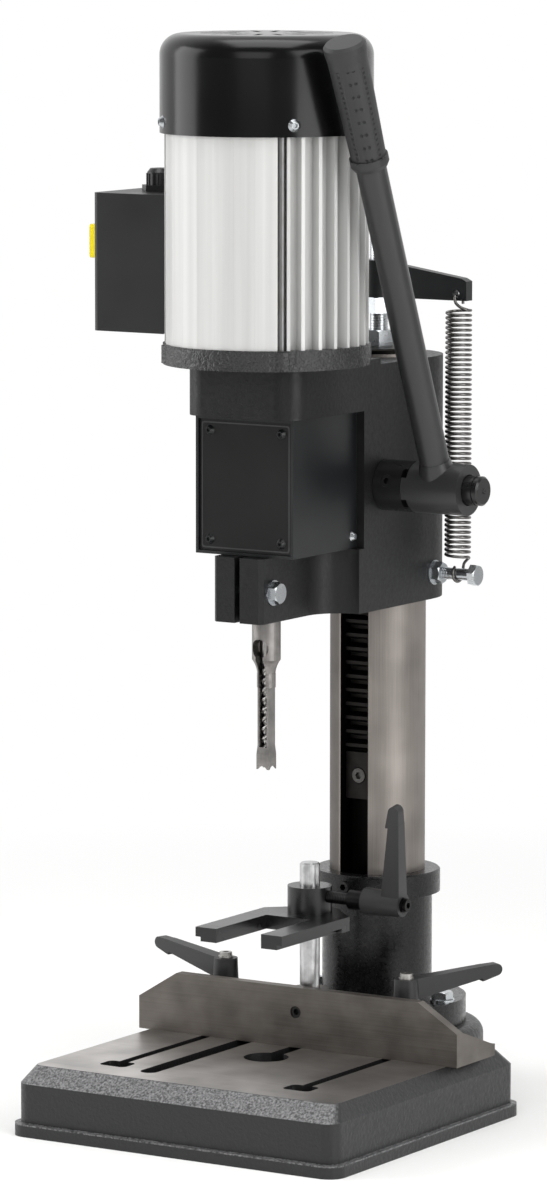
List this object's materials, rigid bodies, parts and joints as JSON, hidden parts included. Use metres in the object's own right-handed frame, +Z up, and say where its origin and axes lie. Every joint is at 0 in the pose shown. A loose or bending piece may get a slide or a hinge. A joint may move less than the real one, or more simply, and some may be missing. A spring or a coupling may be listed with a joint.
{
  "type": "benchtop hollow-chisel mortiser",
  "caption": "Benchtop mortiser: slotted cast base, round column with rack, motor head with hollow chisel, feed lever, fence and hold-down.",
  "frame": {"origin": "column axis at the level the base stands on", "axes": "+X to the lever side (right seen from the front), +Y to the back, +Z up along the column"},
  "size_m": [0.2668, 0.337, 0.7263],
  "materials": {
    "base_paint": "gloss black enamel on iron, bright ground table",
    "socket_paint": "gloss black enamel on iron",
    "zinc_bolts": "zinc plated",
    "column_steel": "centreless ground, lightly oiled",
    "gear_steel": "milled and oiled",
    "spring_steel": "bright plated wire",
    "arm_paint": "black paint",
    "head_paint": "gloss black enamel on a sand casting",
    "bush_bronze": "turned bronze",
    "motor_aluminium": "silver lacquer on extruded aluminium",
    "shield_aluminium": "as cast",
    "lamination_steel": "stacked laminations",
    "bearing_steel": "ground",
    "cowl_paint": "gloss black on pressed sheet",
    "box_plastic": "fine moulded texture",
    "bezel_plastic": "moulded yellow",
    "gland_plastic": "moulded nylon",
    "hood_paint": "black paint on sheet steel",
    "chisel_steel": "ground tool steel",
    "bit_steel": "ground tool steel",
    "chuck_steel": "turned steel",
    "fan_plastic": "moulded",
    "lever_paint": "gloss black",
    "black_oxide": "black oxide",
    "grip_vinyl": "dipped vinyl",
    "start_plastic": "moulded green",
    "stop_plastic": "moulded red",
    "fence_iron": "milled face, fine sandblasted casting",
    "clamp_plastic": "glass-filled nylon",
    "insert_steel": "turned steel",
    "fork_paint": "black paint"
  },
  "bodies": {
    "base": {"base_casting": "base_paint", "column_socket": "socket_paint", "socket_bolts": "zinc_bolts", "socket_set_screw": "zinc_bolts", "column": "column_steel", "rack": "gear_steel", "rack_screws": "zinc_bolts", "column_cap": "column_steel", "top_stud": "zinc_bolts", "stud_nuts": "zinc_bolts", "spring_arm": "arm_paint", "return_spring": "spring_steel"},
    "head": {"head_casting": "head_paint", "pinion_bushes": "bush_bronze", "motor_flange": "head_paint", "motor_housing": "motor_aluminium", "stator": "lamination_steel", "motor_bearings": "bearing_steel", "motor_end_shield": "shield_aluminium", "tie_bolts": "zinc_bolts", "fan_cowl": "cowl_paint", "cowl_screws": "zinc_bolts", "switch_box": "box_plastic", "switch_bezel": "bezel_plastic", "cable_gland": "gland_plastic", "chuck_hood": "hood_paint", "hood_front_plate": "hood_paint", "hood_plate_screws": "hood_paint", "hood_side_screws": "zinc_bolts", "hollow_chisel": "chisel_steel", "chisel_clamp_bolt": "zinc_bolts", "spring_anchor_bolt": "zinc_bolts"},
    "spindle": {"rotor": "lamination_steel", "cooling_fan": "fan_plastic", "chuck_body": "chuck_steel", "chuck_jaws": "chuck_steel", "auger_bit": "bit_steel"},
    "pinion_assembly": {"pinion_shaft": "gear_steel", "pinion_gear": "gear_steel", "clutch_collar": "lever_paint", "collar_set_screw": "black_oxide", "shaft_end_cap": "black_oxide"},
    "lever": {"feed_lever": "lever_paint", "lever_grip": "grip_vinyl"},
    "start_push": {"start_button": "start_plastic"},
    "stop_push": {"stop_button": "stop_plastic"},
    "fence_body": {"fence": "fence_iron", "fence_t_bolts": "zinc_bolts", "post_lock_screw": "black_oxide"},
    "post_body": {"hold_down_post": "column_steel"},
    "left_clamp": {"left_clamp_lever": "clamp_plastic", "left_lever_insert": "insert_steel"},
    "right_clamp": {"right_clamp_lever": "clamp_plastic", "right_lever_insert": "insert_steel"},
    "fork_body": {"hold_down_fork": "fork_paint", "hold_down_collar": "fork_paint"},
    "hold_clamp": {"hold_down_lever": "clamp_plastic", "hold_down_insert": "insert_steel"}
  },
  "joints": [
    {"name": "head_slide", "type": "slide", "parent": "base", "child": "head", "axis": [0, 0, 1], "range_m": [-0.085, 0], "stiffness_N_per_m": 1300, "springref_m": 0.25, "deforming": ["return_spring"]},
    {"name": "spindle_spin", "type": "hinge", "parent": "head", "child": "spindle", "pos_m": [0, -0.142, 0.45], "axis": [0, 0, 1], "continuous": true},
    {"name": "pinion_turn", "type": "hinge", "parent": "head", "child": "pinion_assembly", "pos_m": [0, -0.0631, 0.4242], "axis": [1, 0, 0], "range_deg": [0, 120.3]},
    {"name": "lever_pull", "type": "slide", "parent": "pinion_assembly", "child": "lever", "axis": [1, 0, 0], "range_m": [0, 0.008], "stiffness_N_per_m": 400, "springref_m": -0.01},
    {"name": "start_press", "type": "slide", "parent": "head", "child": "start_push", "axis": [1, 0, 0], "range_m": [0, 0.0025], "stiffness_N_per_m": 400, "springref_m": -0.002},
    {"name": "stop_press", "type": "slide", "parent": "head", "child": "stop_push", "axis": [1, 0, 0], "range_m": [0, 0.0025], "stiffness_N_per_m": 400, "springref_m": -0.002},
    {"name": "fence_slide", "type": "slide", "parent": "base", "child": "fence_body", "axis": [0, 1, 0], "range_m": [-0.03, 0.002]},
    {"name": "left_clamp_turn", "type": "hinge", "parent": "fence_body", "child": "left_clamp", "pos_m": [-0.0715, -0.0801, 0.07], "axis": [0, 0, 1], "range_deg": [-45, 40]},
    {"name": "right_clamp_turn", "type": "hinge", "parent": "fence_body", "child": "right_clamp", "pos_m": [0.0715, -0.0801, 0.07], "axis": [0, 0, 1], "range_deg": [-45, 45]},
    {"name": "post_swivel", "type": "hinge", "parent": "fence_body", "child": "post_body", "pos_m": [0, -0.0872, 0.1], "axis": [0, 0, 1], "range_deg": [-30, 30]},
    {"name": "fork_height", "type": "slide", "parent": "post_body", "child": "fork_body", "axis": [0, 0, 1], "range_m": [-0.036, 0.012]},
    {"name": "hold_clamp_turn", "type": "hinge", "parent": "fork_body", "child": "hold_clamp", "pos_m": [0.05, -0.0872, 0.1472], "axis": [1, 0, 0], "range_deg": [-60, 60]}
  ],
  "couplings": [
    {"joint": "pinion_turn", "follows": "head_slide", "rad_per_m": -24.691}
  ]
}
